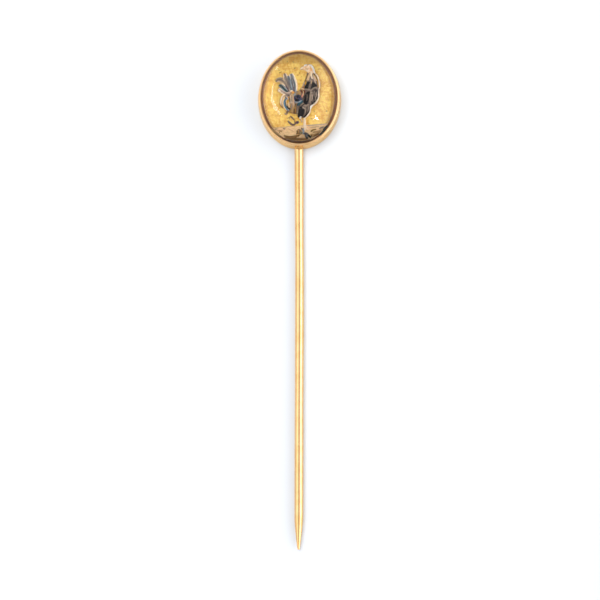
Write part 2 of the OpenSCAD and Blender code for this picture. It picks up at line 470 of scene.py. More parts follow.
class Picture:
    """Collects the painted strokes of one node into one mesh, over a number of layers of other paint."""

    def __init__(self, layers=0):
        self.points = []
        self.uvs = []
        self.faces = []
        self.face_paints = []
        self.paints = []
        self.layers = layers

    def paint_index(self, name):
        if name not in self.paints:
            self.paints.append(name)
        return self.paints.index(name)

    def lay(self, place_on_drawing, height, uv):
        self.points.append(behind_dome(place_on_drawing[0], place_on_drawing[1], height))
        self.uvs.append(uv)

    def close(self, faces, name):
        index = self.paint_index(name)
        self.faces += faces
        self.face_paints += [index] * len(faces)
        self.layers += 1

    def stroke(self, name, half_width, crown, route, blunt=0.25, across=6):
        """A ridge of paint along a route, round across and narrow at its ends."""
        line = curve_through(route, 7)
        last = len(line) - 1
        start = len(self.points)
        base = 0.02 + LAYER_T * self.layers
        seed = 0.37 * len(self.points)
        columns = across + 3
        for i, middle in enumerate(line):
            t = i / last
            ahead = line[min(i + 1, last)] - line[max(i - 1, 0)]
            aside = Vector((-ahead.y, ahead.x)).normalized()
            swell = sin(pi * min(1, 0.04 + 0.92 * t)) ** 0.6
            width = half_width * (blunt + (1 - blunt) * swell)
            width *= 1 + 0.18 * noise.noise(Vector((seed, 3.1 * t, 0)))
            for k in range(across + 1):
                s = 2 * k / across - 1
                spot = middle + aside * (s * width)
                rise = crown * sqrt(max(0, 1 - s * s)) * swell
                self.lay(spot, PAINT_Z + base + relief(spot.x, spot.y) + rise, (seed + t, s))
            for s in (1, -1):
                self.lay(middle + aside * (s * width), PAINT_Z - SUNK, (seed + t, s))
        faces = []
        for i in range(last):
            for k in range(columns):
                a = start + i * columns + k
                b = start + i * columns + (k + 1) % columns
                faces.append((a, b, b + columns, a + columns))
        faces.append(tuple(start + k for k in reversed(range(columns))))
        faces.append(tuple(start + last * columns + k for k in range(columns)))
        self.close(faces, name)

    def bed(self, name, crown, outline, steps=4, rings=8):
        """A low cushion of paint inside a closed outline."""
        edge = curve_through(outline, steps, closed=True)
        count = len(edge)
        middle = sum(edge, Vector((0, 0))) / count
        start = len(self.points)
        base = 0.012 + LAYER_T * self.layers
        for point in edge:
            self.lay(point, PAINT_Z - SUNK, (point.x / 20, point.y / 20))
        for ring in range(rings):
            share = 1 - ring / rings
            rise = crown * sqrt(1 - share * share)
            for point in edge:
                spot = middle + (point - middle) * share
                height = PAINT_Z + base + relief(spot.x, spot.y) + rise
                self.lay(spot, height, (spot.x / 20, spot.y / 20))
        self.lay(middle, PAINT_Z + base + relief(middle.x, middle.y) + crown, (0, 0))
        faces = []
        for ring in range(rings):
            low = start + ring * count
            for i in range(count):
                j = (i + 1) % count
                faces.append((low + i, low + count + i, low + count + j, low + j))
        top = start + (rings + 1) * count
        last_ring = top - count
        for i in range(count):
            faces.append((last_ring + i, top, last_ring + (i + 1) % count))
        faces.append(tuple(start + i for i in range(count)))
        self.close(faces, name)

    def finish(self, name, node):
        return add_piece(
            name, self.points, self.faces, [PAINTS[paint] for paint in self.paints], node,
            face_materials=self.face_paints, uvs=self.uvs
        )


# Two rings of painted shade on the gilding, the inner a darker gold and the outer a dark brown painted
# shadow, which are set a little to one side, as shares of the opening: left, right,
# # bottom and top.
INNER_SHADE_RIM = (-0.87, 0.84, -0.95, 0.95)
OUTER_SHADOW_RIM = (-0.94, 0.925, -0.97, 0.965)
# Height of the straight lower edge of the band of painted shade in the gilding, and small brown specks on
# the gilding, on the drawing.
SHADE_EDGE_V = 75.7
BAND_SHADE = 0.5
SPECKS = [
    (-9.6, 65.1, 1.5), (-44.3, 61, 1.2), (-42.3, 55.5, 1.5), (-46, 73.9, 0.9), (0.9, 54.8, 1.2),
    (43.4, 63.6, 1.1), (-68.6, 0.4, 1.3), (-3, 50, 0.8), (5, 47, 0.8), (57, 20, 0.7), (-52, -40, 0.8)
]

# Oil colours: main colour, colour of the brush lines and how strongly those show.
PAINT_TABLE = {
    "white": ((255, 250, 242), (252, 232, 212), 0.4),
    "cream": ((255, 228, 192), (255, 244, 226), 0.5),
    "peach": ((250, 205, 154), (255, 226, 188), 0.5),
    "salmon": ((222, 148, 122), (196, 118, 94), 0.4),
    "orange": ((236, 168, 84), (250, 198, 134), 0.4),
    "sand": ((216, 178, 132), (238, 206, 164), 0.5),
    "pink_grey": ((206, 178, 158), (168, 142, 126), 0.5),
    "dove": ((164, 143, 124), (122, 104, 90), 0.6),
    "taupe": ((130, 110, 98), (84, 70, 62), 0.6),
    "dark_taupe": ((76, 62, 54), (32, 26, 24), 0.6),
    "black": ((9, 6, 7), (30, 24, 22), 0.3),
    "olive": ((128, 96, 42), (172, 136, 62), 0.5),
    "gold": ((212, 158, 50), (168, 116, 34), 0.5),
    "ochre": ((180, 128, 60), (132, 92, 48), 0.5),
    "red_brown": ((112, 56, 34), (66, 30, 22), 0.5),
    "tan": ((190, 150, 98), (140, 106, 66), 0.6),
    "brown": ((116, 80, 38), (70, 46, 24), 0.5),
    "earth": ((128, 94, 52), (160, 122, 72), 0.5),
    "beige": ((251, 212, 158), (228, 186, 130), 0.5),
    "mauve": ((122, 94, 80), (156, 126, 106), 0.5),
    "plum": ((92, 70, 80), (120, 94, 92), 0.5),
    "navy": ((52, 54, 80), (86, 88, 112), 0.5),
    "blue": ((86, 118, 140), (128, 152, 162), 0.5),
    "steel": ((150, 156, 160), (180, 180, 176), 0.5),
    "blue_grey": ((112, 128, 138), (78, 92, 104), 0.6),
    "slate": ((92, 86, 84), (124, 114, 108), 0.5),
    "teal": ((38, 70, 76), (74, 112, 118), 0.5),
    "moss": ((128, 124, 94), (164, 156, 124), 0.5),
    "green_black": ((30, 34, 20), (68, 64, 44), 0.4)
}
PAINTS = {
    name: oil_paint(name, srgb(*colour), srgb(*streak), share)
    for name, (colour, streak, share) in PAINT_TABLE.items()
}


def collet():
    """The gold collet: a closed back, a flared wall, a fine step and a thin burnished lip."""
    def row(oval, step, height):
        return (oval.x + step, oval.y + step, height)

    foot = BACK_EDGE * 0.8
    profile = [row(BACK, -foot + out, foot + up) for out, up in arc(foot, -90, 0)]
    wall_rows = 14
    for i in range(1, wall_rows):
        t = i / wall_rows
        oval = BACK.lerp(SHOULDER, t)
        hollow = WALL_HOLLOW * sin(pi * t)
        profile.append(row(oval, -hollow, foot + t * (SHOULDER_Z - foot - SHOULDER_ROUND)))
    edge = SHOULDER_ROUND
    profile += [row(SHOULDER, -edge + out, SHOULDER_Z - edge + up) for out, up in arc(edge, 0, 80)]
    lip_row = len(profile)
    profile.append(row(LIP, CREASE_OUT, SHOULDER_Z - CREASE_DOWN))
    profile.append(row(LIP, 0, SHOULDER_Z + CREASE_UP))
    bead = LIP_T / 2 - 0.01
    profile += [row(LIP, -bead + out, COLLET_H - bead + up) for out, up in arc(bead, 0, 160, 10)]
    inner_top = COLLET_H - 0.06
    inner_rows = 4
    for i in range(inner_rows + 1):
        height = inner_top - i * (inner_top - DOME_Z) / inner_rows
        share = egg_share(height)
        profile.append((EGG.x * share + LIP_ROOM, EGG.y * share + LIP_ROOM, height))
    profile.append((STONE.x + SEAT_ROOM, STONE.y + SEAT_ROOM, DOME_Z - 0.05))
    profile.append((STONE.x + SEAT_ROOM, STONE.y + SEAT_ROOM, plate_low.z - 0.02))
    count = 256
    points, faces = oval_lathe(profile, count, wobble=COLLET_WOBBLE)
    # The wall's gold is a paler copy of the metal, painted light for the floor it reflects, and the lip's a
    # darker copy, painted shade that dims its highlights.
    lightened_wall_gold = polished_gold("lightened_wall_gold", srgb(255, 228, 180), srgb(255, 218, 162), 0.2, 0.12, 0.001)
    shaded_lip_gold = polished_gold("shaded_lip_gold", srgb(244, 204, 152), srgb(234, 192, 136), 0.34, 0.12, 0.001)
    lip_start = lip_row * count
    golds = [int(index >= lip_start and index < (len(profile) - 1) * count) for index in range(len(faces))]
    add_piece(
        "gold_collet", points, faces, [lightened_wall_gold, shaded_lip_gold], "collet_and_pin", face_materials=golds
    )


# The pin's small bends across, and its width, as (place from the tip's end, value).
PIN_BENDS = [
    (-35, -0.12), (-27, -0.08), (-17, -0.06), (-10, -0.03), (-3, 0), (4, 0.01), (12, -0.04), (21.5, -0.07)
]
PIN_WIDTHS = [(-35, 0.61), (-22, 0.615), (-14, 0.598), (-4, 0.612), (7, 0.592), (14, 0.606), (21.5, 0.62)]


def between(table, place_along):
    """The table's value at a place, eased between its rows."""
    for (a, low), (b, high) in zip(table, table[1:]):
        if place_along <= b:
            t = min(max((place_along - a) / (b - a), 0), 1)
            return low + (high - low) * t * t * (3 - 2 * t)
    return table[-1][1]


def pin():
    """The round wire, hand drawn and filed to a point."""
    count = 96
    root_y = WALL_Y + WIRE_IN_WALL
    steps = []
    tip_rows = 7
    for i in range(tip_rows):
        angle = pi / 2 * i / tip_rows
        steps.append((TIP_Y + TIP_R * 0.5 * (1 - cos(angle)), TIP_R * sin(angle)))
    taper_rows = 26
    for i in range(taper_rows + 1):
        t = i / taper_rows
        radius = (1 - t) ** 2 * TIP_R + 2 * t * (1 - t) * PIN_R + t * t * PIN_R
        along = (1 - t) ** 2 * TIP_R / 2 + 2 * t * (1 - t) * 0.7 * POINT_L + t * t * POINT_L
        steps.append((TIP_Y + along, radius))
    wire_rows = 150
    start_y = TIP_Y + POINT_L
    for i in range(1, wire_rows + 1):
        steps.append((start_y + (root_y - start_y) * i / wire_rows, PIN_R))
    points = []
    for along, radius in steps:
        middle_x = between(PIN_BENDS, along)
        radius = radius * between(PIN_WIDTHS, along) / PIN_R
        for i in range(count):
            angle = 2 * pi * i / count
            point = Vector((middle_x + radius * cos(angle), along, PIN_Z + radius * sin(angle)))
            stir = noise.noise(Vector((point.x * 0.9, along * 0.35, point.z * 0.9)))
            point += Vector((cos(angle), 0, sin(angle))) * WIRE_WOBBLE * stir * radius / PIN_R
            points.append(point)
    rows = len(steps)
    faces = [tuple(reversed(face)) for face in ring_faces(0, rows, count)]
    faces.append(tuple(range(count)))
    faces.append(tuple((rows - 1) * count + i for i in reversed(range(count))))
    gold = polished_gold("wire_gold", srgb(246, 204, 146), srgb(240, 192, 130), 0.16, 0.1, 0.0008)
    ends = (len(faces) - 2, len(faces) - 1)
    add_piece("gold_pin", points, faces, [gold], "collet_and_pin", flat=ends)


def solder():
    """The mound of solder on the collet's wall, over the end of the wire."""
    rings = 28
    count = 64
    points = []
    middle = Vector((0, WALL_Y + 0.02, PIN_Z + SOLDER_UP))
    for ring in range(1, rings):
        polar = pi * ring / rings
        for i in range(count):
            angle = 2 * pi * i / count
            way = Vector((sin(polar) * cos(angle), sin(polar) * sin(angle), cos(polar)))
            point = middle + Vector((way.x * SOLDER_W / 2, way.y * SOLDER_T, way.z * SOLDER_H))
            point.y += FLARE * point.z / SHOULDER_Z
            point += way * 0.035 * noise.noise(point * 1.7)
            point.z = max(point.z, 0.02)
            points.append(point)
    faces = [tuple(reversed(face)) for face in ring_faces(0, rings - 1, count)]
    faces.append(tuple(range(count)))
    faces.append(tuple((rings - 2) * count + i for i in reversed(range(count))))
    # The solder's darker gold is partly its own amber tone and partly painted shade that dulls the
    # highlights at its corners.
    gold = polished_gold("amber_shaded_solder_gold", srgb(212, 176, 120), srgb(198, 158, 100), 0.55, 0.3, 0.002)
    ends = (len(faces) - 2, len(faces) - 1)
    add_piece("gold_solder", points, faces, [gold], "collet_and_pin", flat=ends)


def crystal():
    """The rock crystal: a flat back, upright sides and the dome."""
    bevel = 0.03
    profile = [(STONE.x - bevel, STONE.y - bevel, STONE_Z), (STONE.x, STONE.y, STONE_Z + bevel)]
    edge_angle = asin(DOME_SINK / EGG_H)
    rows = 80
    for i in range(rows):
        angle = edge_angle + (pi / 2 - edge_angle) * i / rows
        profile.append((EGG.x * cos(angle), EGG.y * cos(angle), EGG_Z + EGG_H * sin(angle)))
    points, faces = oval_lathe(profile)
    points[-1].z = EGG_Z + EGG_H
    back = {index for index, face in enumerate(faces) if all(points[k].z < STONE_Z + 0.001 for k in face)}
    add_piece("rock_crystal_dome", points, faces, [rock_crystal()], "crystal", flat=back)


def gilt_plate():
    """The gilt plate, pressed to the crystal's back."""
    rounding = 0.05
    room = 0.02
    half = STONE - Vector((room, room))
    profile = [
        (half.x - rounding, half.y - rounding, plate_low.z),
        (half.x, half.y, plate_low.z + rounding),
        (half.x, half.y, PLATE_TOP - 0.03)
    ]
    rows = 12
    for i in range(rows):
        share = 1 - i / rows
        profile.append(((half.x - room) * share, (half.y - room) * share, PLATE_TOP))
    points, faces = oval_lathe(profile)
    add_piece("gilt_plate", points, faces, [gilt_ground()], "backing_plate")


# How many layers of other paint the leg stands on, over the ground, and the wing, over the body.
LEG_LAYERS = 34
WING_LAYERS = 55


def draw(picture, rows):
    """Lays a list of strokes, each a paint, a half width and a route; wider strokes stand higher."""
    for paint, half_width, route in rows:
        picture.stroke(paint, half_width, 0.03 + 0.02 * half_width, route)


def cock_head():
    picture = Picture()
    picture.bed("peach", 0.04, [
        (2.6, 62.4), (6, 67), (11, 70.6), (17, 72.6), (24, 72), (29, 67), (31.6, 60), (32, 55), (28, 52.4),
        (22, 53.6), (18, 56.6), (13, 60.2), (8, 62)
    ])
    draw(picture, [
        ("sand", 1.1, [(3.6, 62), (7.4, 63.4), (11.6, 62.8)]),
        ("cream", 1.7, [(2.4, 62.8), (5.6, 66), (10, 69)]),
        ("sand", 1.3, [(13.6, 64.6), (17, 64), (19, 62)]),
        ("cream", 1.5, [(16.4, 68), (20, 68.4), (23.6, 67)]),
        ("pink_grey", 0.8, [(18.6, 64.4), (20, 64.8), (21.6, 64.4)]),
        ("orange", 1.3, [(25.4, 66.6), (26.6, 62.6), (26, 58.6)]),
        ("cream", 1.7, [(15.6, 60.4), (19.5, 59.6), (23, 60.8)]),
        ("white", 1.6, [(10.4, 70.6), (14, 72.4), (17.6, 73)]),
        ("sand", 1.2, [(17, 73), (19, 73.2), (21.2, 73.2)]),
        ("white", 2.3, [(20.6, 73), (25.6, 71.8), (29.2, 68), (31.6, 62.4), (33, 58), (34.8, 54)]),
        ("white", 2.4, [(26, 71.4), (30.2, 66), (31.8, 59.6)])
    ])
    picture.finish("cock_head", "painted_head")


# Dark patches of the breast and the thigh: outlines on the drawing.
NECK_PATCH_LEFT = [
    (17.6, 34.8), (21, 35.8), (24.6, 34.6), (22, 30.6), (20.4, 26), (19.6, 22), (16.6, 19.2),
    (11.4, 23.2), (14.2, 28)
]
NECK_PATCH_RIGHT = [
    (29.4, 35.2), (32.6, 34.6), (35.2, 31.6), (38.6, 28.6), (39, 25.2), (34, 24.6), (31.4, 22.6), (29, 18),
    (26, 18.2), (25.6, 22), (27.4, 27.4)
]
BODY_PATCH = [
    (14.4, 8.6), (18.4, 14), (23.2, 13.4), (24.4, 10.4), (21.8, 7), (21.2, 0), (20.8, -6), (18.8, -12),
    (15.4, -15), (10.4, -11), (10.8, -4), (12.8, 1)
]
BREAST = [
    (28.8, 15), (33, 19.4), (38, 18), (41.6, 10), (41.2, 0), (37.6, -7), (30, -13.2),
    (26.8, -13.2), (27.2, -4), (27.8, 6)
]
THIGH_PATCH = [
    (2.4, -19.4), (5.6, -20.4), (6.4, -24.6), (9.8, -24.4), (11.2, -28.6), (10.4, -34.6),
    (7.4, -40), (3.2, -40.8), (0.4, -38.8), (-1.2, -31), (-0.2, -25)
]


def cock_body():
    picture = Picture()
    picture.bed("taupe", 0.03, [
        (18, 56), (26, 58), (33, 55), (38, 50), (42, 43), (44.6, 34), (45.4, 24), (44.4, 10), (43, 0),
        (39, -8), (31, -14.4), (27, -19), (25, -27), (21, -35), (14, -42.4), (8, -44), (4, -40), (-1, -43),
        (-3, -38), (-2, -28), (-2, -15), (-1, 0), (-3, 10), (1, 18), (6, 24), (9, 31), (12, 38), (15.4, 47)
    ], steps=5, rings=12)
    draw(picture, [
        ("sand", 3.4, [(24, 57), (21, 47), (17.6, 37.6)]),
        ("sand", 2.2, [(31, 52), (35, 44), (38, 37)]),
        ("pink_grey", 2, [(31, 46), (34, 39), (36.6, 31.6)]),
        ("dove", 1.5, [(22, 48), (24, 40), (26, 32)]),
        ("cream", 2.3, [(27.6, 60), (26.6, 51), (29, 41.6)]),
        ("olive", 1.6, [(19.8, 54), (17.6, 48), (15, 41), (12, 37)]),
        ("brown", 1.4, [(20.2, 54.6), (19.6, 52.4), (18.8, 50)]),
        ("gold", 1.8, [(15.4, 38), (14.4, 33.6), (12.4, 29)]),
        ("olive", 1.3, [(12, 37.4), (15.6, 36.8), (18.4, 38.6)]),
        ("olive", 1.7, [(31.4, 53), (34.6, 50), (37.6, 45.6), (40.2, 39.6)]),
        ("gold", 1.7, [(40, 41), (41.6, 34), (42.4, 28), (42, 22.4)]),
        ("pink_grey", 1.3, [(11.6, 35.6), (9.4, 30), (7, 24.4)]),
        ("ochre", 1.8, [(11, 27.4), (9.6, 23.6), (8.4, 21)])
    ])
    picture.bed("black", 0.05, NECK_PATCH_LEFT, steps=3, rings=4)
    picture.bed("black", 0.05, NECK_PATCH_RIGHT, steps=3, rings=4)
    draw(picture, [
        ("taupe", 1.8, [(25.6, 37), (23.6, 28), (22.8, 19.6)]),
        ("sand", 0.8, [(27.4, 38.6), (27, 34.6), (26.2, 30.6)]),
        ("dove", 1.7, [(13, 19.4), (17.6, 18.6), (24, 16.6), (26, 13.4)]),
        ("dove", 1.9, [(26, 17.4), (31, 21), (36.4, 22.6), (41.4, 20.4)]),
        ("tan", 2.8, [(-2, 15.6), (1, 10), (1.6, 4)]),
        ("tan", 2.2, [(1.6, 19), (5, 18.6), (8.4, 16)]),
        ("sand", 1.5, [(2.6, 21.4), (7, 20.6), (11.6, 17.8)]),
        ("sand", 1.3, [(9.2, 14.6), (8.8, 10), (10, 5.6)]),
        ("red_brown", 1.8, [(4.2, 18), (6.2, 14), (7.6, 9.4)]),
        ("red_brown", 1.6, [(11.2, 17.4), (11.8, 14), (11.4, 10.4)]),
        ("dark_taupe", 1.4, [(11.4, 11.2), (12.2, 6), (10.2, -0.6)]),
        ("salmon", 1.5, [(8.8, 8.4), (6.6, 4), (6.2, 0.4)])
    ])
    picture.bed("black", 0.05, BODY_PATCH, steps=3, rings=5)
    picture.bed("dark_taupe", 0.05, BREAST, steps=3, rings=5)
    draw(picture, [
        ("dove", 2.6, [(26, 13.6), (24.8, 2), (23.4, -11.6)]),
        ("black", 1.8, [(37.6, 15.6), (40, 8), (39.8, 0), (37, -6)]),
        ("black", 2.1, [(37.4, -5), (32.6, -9.8), (27.6, -14)]),
        ("black", 1.3, [(32, 5), (33, -2), (32.4, -8)]),
        # The thin pale lines below, over the black body patch and the dark breast, are painted highlights
        # on the carved feather ridges.
        ("dove", 0.9, [(33.6, 15.6), (34.8, 9), (34, 3.4)]),
        ("dove", 0.9, [(30, 15), (30.6, 8), (29.4, 0)]),
        ("pink_grey", 0.8, [(28, 8), (28.8, 0), (27.8, -7)]),
        ("dove", 0.9, [(35, 4), (36, -1), (34.6, -7)]),
        ("pink_grey", 0.7, [(38.2, 14), (38.6, 8), (37.8, 2)]),
        ("taupe", 0.9, [(17, 9), (17.6, 1), (16.4, -7)]),
        ("taupe", 0.8, [(36.4, 12), (37.2, 4), (35.8, -3)]),
        ("taupe", 0.7, [(30.6, -2), (30.6, -6), (29.2, -9.6)]),
        ("dark_taupe", 1.3, [(34.6, 20.6), (36.4, 17), (36.8, 13)]),
        ("dove", 1.7, [(2.2, -18), (5.6, -14.4), (9.8, -11.4)]),
        ("dark_taupe", 1.2, [(4, -19), (7.6, -15.8), (11.6, -13.4)]),
        ("dove", 2, [(9.4, -18), (15, -17), (22.4, -14.8)]),
        ("pink_grey", 1.5, [(7, -20.6), (9.8, -21.6), (12.6, -24.4)]),
        ("dove", 1.7, [(14, -20), (14.4, -28), (12.6, -35)]),
        ("dove", 1.5, [(20.6, -18), (20.2, -24), (18.2, -30)]),
        ("dark_taupe", 1.1, [(16.8, -21.6), (17, -28), (14.6, -34)]),
        ("taupe", 1.1, [(13.2, -33), (12, -37), (9.6, -40.4)])
    ])
    picture.bed("black", 0.05, THIGH_PATCH, steps=3, rings=5)
    draw(picture, [
        ("black", 1.8, [(-0.2, -33), (-1.2, -38), (-1.8, -43.4)]),
        ("black", 1.8, [(24.2, -23.4), (22.6, -29), (18.8, -34.8), (13, -40.2), (9.8, -43.4)]),
        ("white", 1.5, [(3.6, -40.4), (3, -43), (1.2, -46)]),
        ("dove", 0.9, [(-3.6, -23), (-3.8, -31), (-4.6, -38)]),
        ("cream", 1.9, [(35.6, 53.4), (40.4, 47.4), (43, 40)]),
        ("cream", 1.7, [(42, 43), (44.4, 34.6), (45, 27), (44.2, 19.4)]),
        ("cream", 1.7, [(43.4, 21), (43.2, 10), (42.8, 2), (41, -4)]),
        ("white", 1, [(43.8, 17), (43.6, 10.6), (43, 4.6)]),
        ("cream", 2, [(41.8, -1.6), (39, -7.6), (34.4, -13), (28.2, -17.8)]),
        ("white", 2.1, [(30, -15.8), (26.2, -19.6), (24.6, -25)]),
        ("cream", 1.7, [(25, -24), (23.4, -31.6), (18.6, -38.6), (12, -45.6)])
    ])
    picture.finish("cock_body", "painted_body")


def cock_wing():
    picture = Picture(WING_LAYERS)
    picture.bed("navy", 0.04, [
        (-11.6, 0.6), (-9.6, 5), (-5, 7.4), (0.4, 7), (4.6, 3.6), (6.6, -1), (4.6, -6.4), (0, -9.6),
        (-5.6, -9.6), (-10, -5.6)
    ])
    draw(picture, [
        ("slate", 1.5, [(-10, 2.6), (-7.6, 5.6), (-2.6, 6.6)]),
        ("steel", 0.9, [(-9.8, 4), (-8.8, 6), (-6.6, 7.6)]),
        ("slate", 1.1, [(1, 5.6), (4, 2), (4.8, -2)]),
        ("black", 1.6, [(-5, 5.6), (-2.8, 3), (-4, -0.4)]),
        ("black", 1.7, [(-8.6, -1.4), (-5.4, -3.4), (-1, -3.4)]),
        ("black", 1.1, [(-1.6, 3.2), (1, 1.4), (1.6, -1.4)]),
        ("plum", 1.1, [(-8, 1.8), (-6.4, -0.6), (-2.6, -1.6)]),
        ("black", 1.1, [(-8.6, -5.4), (-4.6, -6.6), (-0.4, -6)]),
        ("dove", 1.4, [(-10.6, -10.6), (-7.4, -11.6), (-4.4, -11)]),
        ("steel", 1.5, [(-10.8, -7.4), (-6, -9.6), (0.6, -8.8), (5.4, -5)]),
        ("teal", 2.2, [(-2.8, -12.6), (3.4, -11), (9, -5.6)]),
        ("blue", 1.4, [(-3.4, -11), (2.6, -9.4), (7.6, -5)]),
        ("teal", 2.4, [(-4.8, -15.6), (-1.4, -14.6), (2, -12.4)]),
        ("slate", 1.2, [(-4.2, -18), (-2, -17.6), (0.6, -15.4)])
    ])
    picture.finish("cock_wing", "painted_wing")


def cock_saddle():
    picture = Picture()
    picture.bed("tan", 0.03, [
        (-18, 13), (-12, 15), (-6, 13), (0, 17), (3, 8), (0, -4), (-1, -16), (-2.6, -30), (-6, -35.2),
        (-12, -35.2), (-18, -33), (-25, -30.6), (-26.6, -24), (-28.4, -14), (-27.6, -4), (-24, 4), (-20, 8)
    ])
    draw(picture, [
        ("gold", 2.5, [(-22.6, 3), (-25, -5), (-25.6, -12)]),
        ("brown", 1.3, [(-22.8, 2.4), (-22, -2), (-22.6, -6)]),
        ("beige", 1.2, [(-28, 0), (-28.6, -8), (-27.4, -16)]),
        ("sand", 1.9, [(-21, -9), (-23.2, -15), (-21, -21.4)]),
        ("dark_taupe", 1.9, [(-27.2, -18.2), (-24.2, -21.8), (-20.6, -24), (-17.2, -26)]),
        ("dove", 1.7, [(-20.4, 4), (-19.4, -5), (-20, -14)]),
        ("cream", 1, [(-18.8, 6), (-17.8, -4), (-18, -12)]),
        ("pink_grey", 1.3, [(-15, 5), (-15, -3), (-15.8, -12)]),
        ("brown", 1.2, [(-16.2, 3), (-16.2, -4), (-15.6, -11)]),
        ("sand", 1.6, [(-13.4, 6), (-13, -4), (-13.6, -15)]),
        ("pink_grey", 1.1, [(-11.4, 2), (-11, -8), (-11.6, -19)]),
        ("olive", 1.4, [(-8.4, -10), (-8.6, -15), (-9.4, -21)]),
        ("dove", 1.6, [(-16, -13), (-16.8, -20), (-18.4, -26)]),
        ("taupe", 1.8, [(-5.2, -15), (-4.6, -23), (-4.8, -33)]),
        ("ochre", 1.5, [(-7.6, -21), (-7.6, -29), (-8, -34.6)]),
        ("brown", 1.3, [(-10.6, -24), (-11, -30), (-11.6, -35)]),
        ("tan", 1.4, [(-14, -18), (-14.8, -26), (-16.4, -33)]),
        ("olive", 1, [(-18.8, -24), (-19.6, -28), (-21, -32)]),
        ("mauve", 1.4, [(-22, -27.6), (-24, -29.6), (-27, -31)]),
        ("sand", 1.8, [(-20.4, 7), (-16.4, 7.2), (-13, 5.6)]),
        ("orange", 2.7, [(-16.8, 12), (-14, 12.4), (-11.2, 11.4)]),
        ("cream", 1.5, [(-19.4, 14), (-17, 15.8), (-14.2, 15.8)]),
        ("dove", 1.6, [(-4.8, 15.8), (-5.6, 12), (-7.2, 9.2)]),
        ("steel", 1.6, [(-7.6, 11.4), (-9.6, 8), (-12.6, 4.4)])
    ])
    picture.finish("cock_saddle", "painted_saddle")


# Tail feathers: edge paint, main paint, rib paint, half width and route.
FEATHERS = [
    ("cream", "pink_grey", "dove", 3.4, [(-28, 9), (-36, 13.8), (-46.4, 18.4)]),
    ("steel", "teal", "green_black", 3.3, [(-24, 13), (-31, 18), (-36, 23.4), (-44, 28.8)]),
    ("sand", "dove", "taupe", 3.2, [(-22, 16), (-29, 29.6), (-37, 38), (-45, 40.2), (-51.6, 36.4)]),
    ("cream", "dove", "slate", 3.5, [(-22, 20), (-26.6, 37), (-30, 47), (-32.6, 54)]),
    ("pink_grey", "blue_grey", "slate", 4.8, [(-15.6, 14), (-19.8, 32), (-24, 48.6)]),
    ("cream", "steel", "slate", 5.6, [(-9.6, 13), (-11, 32), (-18, 53.4)])
]


def cock_tail():
    picture = Picture()
    picture.bed("dove", 0.02, [
        (-33, 8), (-27, 15), (-18, 15), (-16, 8), (-20, 2), (-28, -1), (-33, 2)
    ], steps=3, rings=4)
    for edge, vane, rib, half_width, route in FEATHERS:
        picture.stroke(edge, half_width + 1.6, 0.03, route, blunt=0.4)
        picture.stroke(vane, half_width, 0.05, route, blunt=0.35)
        picture.stroke(rib, half_width * 0.32, 0.06, route, blunt=0.5)
    draw(picture, [
        ("slate", 1.5, [(-12.8, 20), (-14.8, 33), (-18.6, 48)]),
        ("blue_grey", 1.5, [(-9, 17), (-9.2, 30), (-12.8, 42.4)]),
        ("blue_grey", 1.3, [(-14.6, 18), (-17, 30), (-20.6, 44)]),
        ("cream", 1, [(-6, 19), (-6.8, 32), (-11.6, 45)]),
        ("slate", 1.2, [(-19.6, 20), (-22.4, 32), (-25.4, 43)]),
        ("dove", 1.2, [(-25.6, 24), (-29.6, 36), (-33, 46)]),
        ("plum", 1.1, [(-11.6, 14), (-12.2, 19), (-12, 24.6)]),
        ("steel", 1.1, [(-16, 20), (-18, 30), (-20.8, 39)]),
        ("steel", 1.5, [(-24, 15.6), (-29, 21), (-36.4, 28)]),
        ("plum", 1.6, [(-23.2, 14.6), (-26, 21), (-29.4, 28.4)]),
        ("moss", 1.3, [(-36, 41.8), (-41, 42), (-46, 40.4)]),
        ("pink_grey", 1.1, [(-50, 42), (-43, 44.4), (-35.6, 43.8)]),
        ("cream", 1.3, [(-43, 34.4), (-37, 31.4), (-31, 26.4)]),
        ("pink_grey", 2.1, [(-30, 11), (-25, 11.2), (-19, 11.6)]),
        ("dove", 1.7, [(-28, 8), (-22, 9), (-17, 8.8)]),
        ("pink_grey", 1.4, [(-31, 5), (-27, 2), (-24, -3)]),
        ("blue_grey", 1.3, [(-30.6, 1.6), (-27, -1), (-25.6, -4)]),
        ("plum", 1.2, [(-25.8, 6.6), (-23.8, 5.8), (-21.8, 6.4)]),
        ("sand", 1.4, [(-31, 7), (-35.4, 0), (-37.4, -10), (-36, -19)]),
        ("cream", 1.8, [(-32.4, 8.6), (-37.4, 3.4), (-40.2, -4), (-40.6, -11), (-38.8, -17.4)]),
        ("tan", 1.2, [(-38.4, -9), (-38, -15), (-36.2, -21.6)]),
        ("beige", 1.3, [(-31.4, 3), (-35, -5), (-35.4, -14), (-32, -22), (-27.4, -28)]),
        ("blue", 2.3, [(-27.4, 0), (-32, -7), (-32.2, -15), (-28.6, -22.6), (-24.4, -27.6)]),
        ("blue_grey", 1, [(-27, 1), (-30.6, -4), (-32.2, -10)]),
        ("teal", 0.9, [(-30, -9), (-30.4, -15), (-27.4, -22)]),
        ("steel", 1.5, [(-25.8, -26), (-23.8, -26.6), (-21.8, -26)]),
        ("mauve", 1.5, [(-28.2, -29.4), (-26.4, -32), (-24.8, -34.2)]),
        ("pink_grey", 1.3, [(-32, -33.6), (-29, -35.6), (-25.6, -35.6)]),
        ("cream", 1.6, [(-47, 18.8), (-44, 16.4), (-40.6, 14.6)])
    ])
    picture.finish("cock_tail", "painted_tail")


